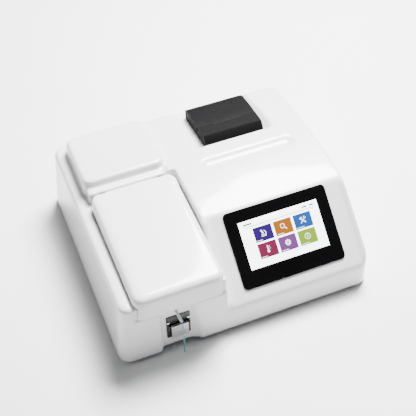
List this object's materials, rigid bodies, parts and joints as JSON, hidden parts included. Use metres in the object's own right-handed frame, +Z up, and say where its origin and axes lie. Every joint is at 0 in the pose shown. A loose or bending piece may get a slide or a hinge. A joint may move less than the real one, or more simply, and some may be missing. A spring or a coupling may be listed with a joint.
{
  "type": "spectrophotometer",
  "caption": "Bench photometer with a sample sipper, a hinged lid over the measuring bay, a sloping touch display and a built-in strip printer",
  "frame": {"origin": "middle of the footprint, on the surface the feet stand on", "axes": "+X to the user's right, +Y from the user's side to the back, +Z up"},
  "size_m": [0.486, 0.47, 0.1797],
  "materials": {
    "housing": "smooth moulded white, slight gloss",
    "lid": "smooth moulded white, slight gloss",
    "sheet": "light grey powder coat",
    "feet": "matt black rubber",
    "screws": "bright plated steel",
    "pins": "ground steel",
    "brackets": "plain rolled sheet",
    "tray": "grey vacuum-formed sheet",
    "glass_black": "black-bordered touch panel",
    "screen": "lit display",
    "carrier": "black moulded plastic",
    "circuit": "green circuit board",
    "printer": "dark grey fine texture",
    "platen": "ground rubber on a steel shaft",
    "gears": "natural acetal",
    "motors": "zinc plated can",
    "cooler": "plain machined",
    "paper": "white thermal paper",
    "fittings": "natural nylon",
    "tubing": "clear teal tube",
    "escutcheon": "black, slight gloss",
    "paddle": "brushed",
    "springs": "spring wire",
    "pump": "dark grey plastic",
    "rollers": "white acetal",
    "quartz": "polished",
    "filter_glass": "coated interference glass",
    "blackened": "matt black",
    "lamp_glass": "clear bulb on a base",
    "inlet": "black plastic"
  },
  "bodies": {
    "case": {"upper_housing": "housing", "base_pan": "sheet", "rubber_feet": "feet", "housing_screws": "screws", "lid_hinge_brackets": "brackets", "bay_tray": "tray", "touch_glass": "glass_black", "display_panel": "screen", "display_carrier": "carrier", "controller_board": "circuit", "printer_frame": "printer", "paper_motor": "motors", "thermal_head": "blackened", "tear_bar": "blackened", "roll_spindle": "carrier", "sipper_sleeve": "fittings", "sipper_tube": "tubing", "escutcheon_plate": "escutcheon", "escutcheon_screws": "screws", "paddle_spring": "springs", "trigger_switch": "carrier", "pump_body": "pump", "pump_tube": "tubing", "pump_motor": "motors", "flow_cell_block": "cooler", "flow_cell": "quartz", "cell_cap": "fittings", "detector": "circuit", "light_tube": "blackened", "wheel_motor": "motors", "motor_bracket": "brackets", "lamp_housing": "cooler", "lens_barrel": "blackened", "condenser_lens": "quartz", "lamp": "lamp_glass", "mainboard": "circuit", "power_supply": "brackets", "fan_frame": "carrier", "mains_inlet": "inlet", "rocker_body": "inlet", "ports_plate": "sheet", "waste_spigot": "fittings"},
    "lid": {"bay_lid": "lid", "lid_hinge_pins": "pins"},
    "door": {"printer_door": "printer", "door_pins": "pins"},
    "tongue": {"latch_tongue": "printer"},
    "platen": {"platen_roller": "platen", "platen_gear": "gears"},
    "idler": {"idler_gear": "gears"},
    "pinion": {"motor_pinion": "gears"},
    "roll": {"paper_roll": "paper"},
    "trigger": {"trigger_paddle": "paddle", "paddle_pin": "pins"},
    "pump_head": {"pump_rotor": "gears", "pump_rollers": "rollers"},
    "wheel": {"filter_wheel": "blackened", "filters": "filter_glass"},
    "fan": {"fan_rotor": "carrier"},
    "switch": {"rocker": "inlet"}
  },
  "joints": [
    {"name": "lid_hinge", "type": "hinge", "parent": "case", "child": "lid", "pos_m": [-0.127, 0.036, 0.1622], "axis": [-1, 0, 0], "range_deg": [0, 70]},
    {"name": "printer_door_hinge", "type": "hinge", "parent": "case", "child": "door", "pos_m": [0.1, 0.13262, 0.16721], "axis": [1, 0, 0], "range_deg": [0, 75]},
    {"name": "latch_tongue_hinge", "type": "hinge", "parent": "door", "child": "tongue", "pos_m": [0.1, 0.1723, 0.16456], "axis": [1, 0, 0], "range_deg": [0, 8], "stiffness_Nm_per_rad": 0.05, "springref_deg": -8.59},
    {"name": "platen_spin", "type": "hinge", "parent": "door", "child": "platen", "pos_m": [0.1, 0.13426, 0.15593], "axis": [1, 0, 0], "continuous": true},
    {"name": "idler_spin", "type": "hinge", "parent": "case", "child": "idler", "pos_m": [0.1362, 0.12853, 0.14696], "axis": [1, 0, 0], "continuous": true},
    {"name": "pinion_spin", "type": "hinge", "parent": "case", "child": "pinion", "pos_m": [0.1362, 0.12524, 0.1391], "axis": [1, 0, 0], "continuous": true},
    {"name": "roll_spin", "type": "hinge", "parent": "case", "child": "roll", "pos_m": [0.1, 0.16233, 0.13838], "axis": [1, 0, 0], "continuous": true},
    {"name": "trigger_press", "type": "hinge", "parent": "case", "child": "trigger", "pos_m": [-0.131, -0.2164, 0.0665], "axis": [1, 0, 0], "range_deg": [0, 7], "stiffness_Nm_per_rad": 0.05, "springref_deg": -6.88, "deforming": ["paddle_spring"]},
    {"name": "pump_spin", "type": "hinge", "parent": "case", "child": "pump_head", "pos_m": [-0.149, -0.154, 0.09], "axis": [0, 0, 1], "continuous": true},
    {"name": "filter_wheel_spin", "type": "hinge", "parent": "case", "child": "wheel", "pos_m": [-0.071, 0.101, 0.104], "axis": [0, 1, 0], "continuous": true},
    {"name": "fan_spin", "type": "hinge", "parent": "case", "child": "fan", "pos_m": [-0.181, 0.2, 0.074], "axis": [0, 1, 0], "continuous": true},
    {"name": "mains_switch", "type": "hinge", "parent": "case", "child": "switch", "pos_m": [0.147, 0.219, 0.0365], "axis": [1, 0, 0], "range_deg": [0, 14]}
  ],
  "couplings": [
    {"joint": "idler_spin", "follows": "platen_spin", "ratio": -1.5},
    {"joint": "pinion_spin", "follows": "platen_spin", "ratio": 1.5}
  ]
}
